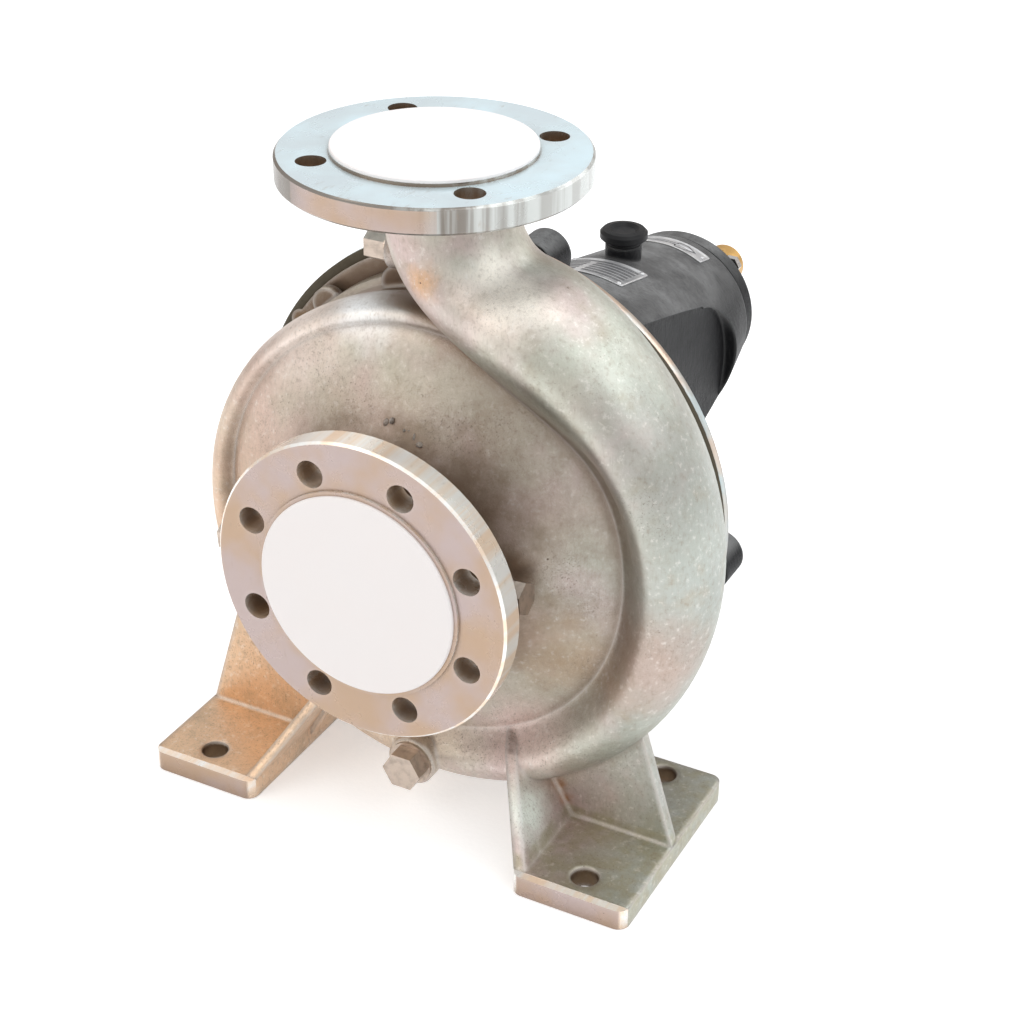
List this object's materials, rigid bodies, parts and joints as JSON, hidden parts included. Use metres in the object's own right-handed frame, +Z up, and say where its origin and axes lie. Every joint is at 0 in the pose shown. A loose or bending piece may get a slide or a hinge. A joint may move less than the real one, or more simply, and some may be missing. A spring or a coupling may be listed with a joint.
{
  "type": "centrifugal pump",
  "caption": "Horizontal end-suction centrifugal pump with a volute casing on feet, suction and discharge flanges, closed impeller and oil-filled bearing bracket.",
  "frame": {"origin": "on the ground under the shaft axis, at the centre of the four foot bolts, 5.5 mm in front of the discharge centre line", "axes": "+Z up, +Y along the shaft towards the coupling end, so the suction flange faces -Y"},
  "size_m": [0.3695, 0.572, 0.452],
  "materials": {
    "cast_stainless": "satin, blasted casting",
    "machined_steel": "machined",
    "shaft_steel": "ground, shaft end with a golden rust preventive",
    "plug_steel": "satin",
    "bearing_steel": "polished",
    "black_paint": "black semi-gloss paint on casting",
    "gasket": "matt fibre",
    "seal_carbon": "lapped carbon",
    "seal_rubber": "matt",
    "sight_glass": "clear",
    "cap_plastic": "black, semi-gloss",
    "cover_white": "white film"
  },
  "bodies": {
    "root": {"volute_casing": "cast_stainless", "casing_cover": "cast_stainless", "casing_wear_ring": "machined_steel", "casing_gasket": "gasket", "cover_studs": "machined_steel", "cover_nuts": "machined_steel", "seal_seat": "seal_carbon", "seal_cover": "cast_stainless", "seal_cover_screws": "machined_steel", "discharge_gauge_plug": "plug_steel", "drain_plug": "plug_steel", "suction_gauge_plugs": "plug_steel", "plug_washers": "plug_steel", "bearing_bracket": "black_paint", "front_bearing_cover": "black_paint", "rear_bearing_cover": "black_paint", "bearing_cover_screws": "machined_steel", "front_bearing_outer_ring": "bearing_steel", "rear_bearing_outer_ring": "bearing_steel", "oil_seals": "seal_rubber", "oil_drain_plug": "machined_steel", "sight_glass_bezel": "machined_steel", "sight_glass_lens": "sight_glass", "support_foot": "black_paint", "support_foot_screws": "machined_steel"},
    "rotor": {"shaft": "shaft_steel", "impeller": "cast_stainless", "impeller_nut": "machined_steel", "impeller_key": "machined_steel", "shaft_sleeve": "machined_steel", "seal_ring": "seal_carbon", "seal_bellows": "seal_rubber", "deflector": "seal_rubber", "front_bearing_inner_ring": "bearing_steel", "rear_bearing_inner_ring": "bearing_steel", "bearing_lock_nut": "machined_steel"},
    "front_rollers": {"front_roller_set": "bearing_steel"},
    "rear_balls": {"rear_ball_set": "bearing_steel"},
    "vent_cap": {"filler_cap": "cap_plastic"},
    "suction_cap": {"suction_port_cover": "cover_white"},
    "discharge_cap": {"discharge_port_cover": "cover_white"}
  },
  "joints": [
    {"name": "shaft_spin", "type": "hinge", "parent": "root", "child": "rotor", "pos_m": [0, 0, 0.2], "axis": [0, 1, 0], "continuous": true},
    {"name": "front_cage_spin", "type": "hinge", "parent": "root", "child": "front_rollers", "pos_m": [0, 0, 0.2], "axis": [0, 1, 0], "continuous": true},
    {"name": "rear_cage_spin", "type": "hinge", "parent": "root", "child": "rear_balls", "pos_m": [0, 0, 0.2], "axis": [0, 1, 0], "continuous": true},
    {"name": "filler_cap_pull", "type": "slide", "parent": "root", "child": "vent_cap", "axis": [0, 0, 1], "range_m": [0, 0.03]},
    {"name": "suction_cover_pull", "type": "slide", "parent": "root", "child": "suction_cap", "axis": [0, -1, 0], "range_m": [0, 0.05]},
    {"name": "discharge_cover_pull", "type": "slide", "parent": "root", "child": "discharge_cap", "axis": [0, 0, 1], "range_m": [0, 0.05]}
  ],
  "couplings": [
    {"joint": "front_cage_spin", "follows": "shaft_spin", "ratio": 0.4077},
    {"joint": "rear_cage_spin", "follows": "shaft_spin", "ratio": 0.3846}
  ]
}
